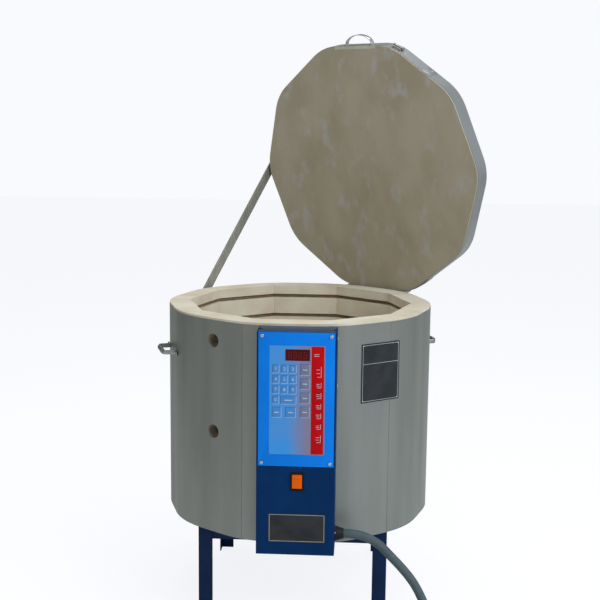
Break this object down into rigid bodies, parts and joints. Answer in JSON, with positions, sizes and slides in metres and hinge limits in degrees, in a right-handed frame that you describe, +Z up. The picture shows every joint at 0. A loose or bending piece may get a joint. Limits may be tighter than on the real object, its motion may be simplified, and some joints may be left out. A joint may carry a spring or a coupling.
{
  "type": "electric kiln",
  "caption": "Ten-sided top-loading electric kiln on an angle-iron stand, hinged brick lid held open by a stay, control box with keypad and rocker switch.",
  "frame": {"origin": "on the floor, on the axis of the kiln body", "axes": "+Z up along the kiln axis; -Y is the way the control box faces; +X is to the right seen from the front"},
  "size_m": [0.9086, 1.2608, 1.5833],
  "materials": {
    "stand_paint": "navy enamel, satin",
    "pan_steel": "galvanised sheet",
    "insulation": "light insulating block",
    "firebrick": "soft insulating firebrick, matt",
    "stainless": "stainless sheet, dull",
    "element_wire": "oxidised resistance wire",
    "porcelain": "glazed porcelain",
    "box_paint": "dark blue enamel",
    "panel_paint": "bright blue enamel",
    "keypad_film": "printed membrane",
    "display_red": "dark red acrylic",
    "bright_screws": "bright plated steel",
    "plate_black": "black, blank",
    "black_plastic": "moulded black plastic",
    "orange_plastic": "orange rocker",
    "board_green": "circuit board",
    "relay_case": "relay case",
    "iron_core": "laminated core",
    "terminal_plastic": "terminal block",
    "zinc_steel": "zinc-plated steel",
    "stay_steel": "plain flat steel bar",
    "chrome_rod": "chromed rod",
    "cord_rubber": "grey flexible cord jacket",
    "plug_rubber": "moulded plug"
  },
  "bodies": {
    "root": {"stand_leg_front_left": "stand_paint", "stand_leg_front_right": "stand_paint", "stand_leg_rear_left": "stand_paint", "stand_leg_rear_right": "stand_paint", "stand_frame": "stand_paint", "base_pan": "pan_steel", "floor_insulation": "insulation", "floor_slab": "firebrick", "brick_course_1": "firebrick", "brick_course_2": "firebrick", "brick_course_3": "firebrick", "brick_course_4": "firebrick", "jacket": "stainless", "element_coil_1": "element_wire", "element_coil_2": "element_wire", "element_coil_3": "element_wire", "element_coil_4": "element_wire", "element_coil_5": "element_wire", "element_coil_6": "element_wire", "element_coil_7": "element_wire", "element_bushes": "porcelain", "thermocouple_tube": "porcelain", "thermocouple_head": "porcelain", "control_box_cover": "box_paint", "control_box_back": "box_paint", "control_panel_plate": "panel_paint", "membrane_keypad": "keypad_film", "display_window": "display_red", "panel_screws": "bright_screws", "lower_plate": "plate_black", "switch_bezel": "black_plastic", "board_posts": "bright_screws", "controller_board": "board_green", "power_relays": "relay_case", "control_transformer": "iron_core", "terminal_block": "terminal_plastic", "side_plate": "plate_black", "side_plate_rivets": "bright_screws", "left_handle_strap": "zinc_steel", "right_handle_strap": "zinc_steel", "left_handle_grip": "black_plastic", "right_handle_grip": "black_plastic", "body_hinge_leaf": "zinc_steel", "hinge_pin": "bright_screws", "guide_stud": "bright_screws", "cord_gland": "cord_rubber", "power_cord": "cord_rubber", "cord_coil": "cord_rubber", "cord_plug": "plug_rubber"},
    "lid": {"lid_slab": "firebrick", "lid_band": "stainless", "lid_band_clamp": "zinc_steel", "lid_handle": "chrome_rod", "lid_hinge_leaf": "zinc_steel", "stay_bracket": "zinc_steel", "stay_pivot_screw": "bright_screws"},
    "stay": {"stay_bar": "stay_steel", "stay_stop_screw": "bright_screws"},
    "guide": {"stay_guide": "zinc_steel"},
    "rocker": {"power_rocker": "orange_plastic"}
  },
  "joints": [
    {"name": "lid_hinge", "type": "hinge", "parent": "root", "child": "lid", "pos_m": [0.21713, 0.29885, 0.823], "axis": [0.809, -0.5878, 0], "range_deg": [0, 79]},
    {"name": "stay_pivot", "type": "hinge", "parent": "lid", "child": "stay", "pos_m": [-0.11987, 0.49722, 1.192], "axis": [0.809, -0.5878, 0], "range_deg": [-39.5, 0]},
    {"name": "guide_pivot", "type": "hinge", "parent": "root", "child": "guide", "pos_m": [-0.3149, 0.22879, 0.7895], "axis": [0.809, -0.5878, 0], "range_deg": [0, 39.5]},
    {"name": "power_switch", "type": "hinge", "parent": "root", "child": "rocker", "pos_m": [0.022, -0.4409, 0.446], "axis": [1, 0, 0], "range_deg": [-18, 0]}
  ],
  "couplings": [
    {"joint": "stay_pivot", "follows": "lid_hinge", "ratio": -0.5},
    {"joint": "guide_pivot", "follows": "lid_hinge", "ratio": 0.5}
  ]
}
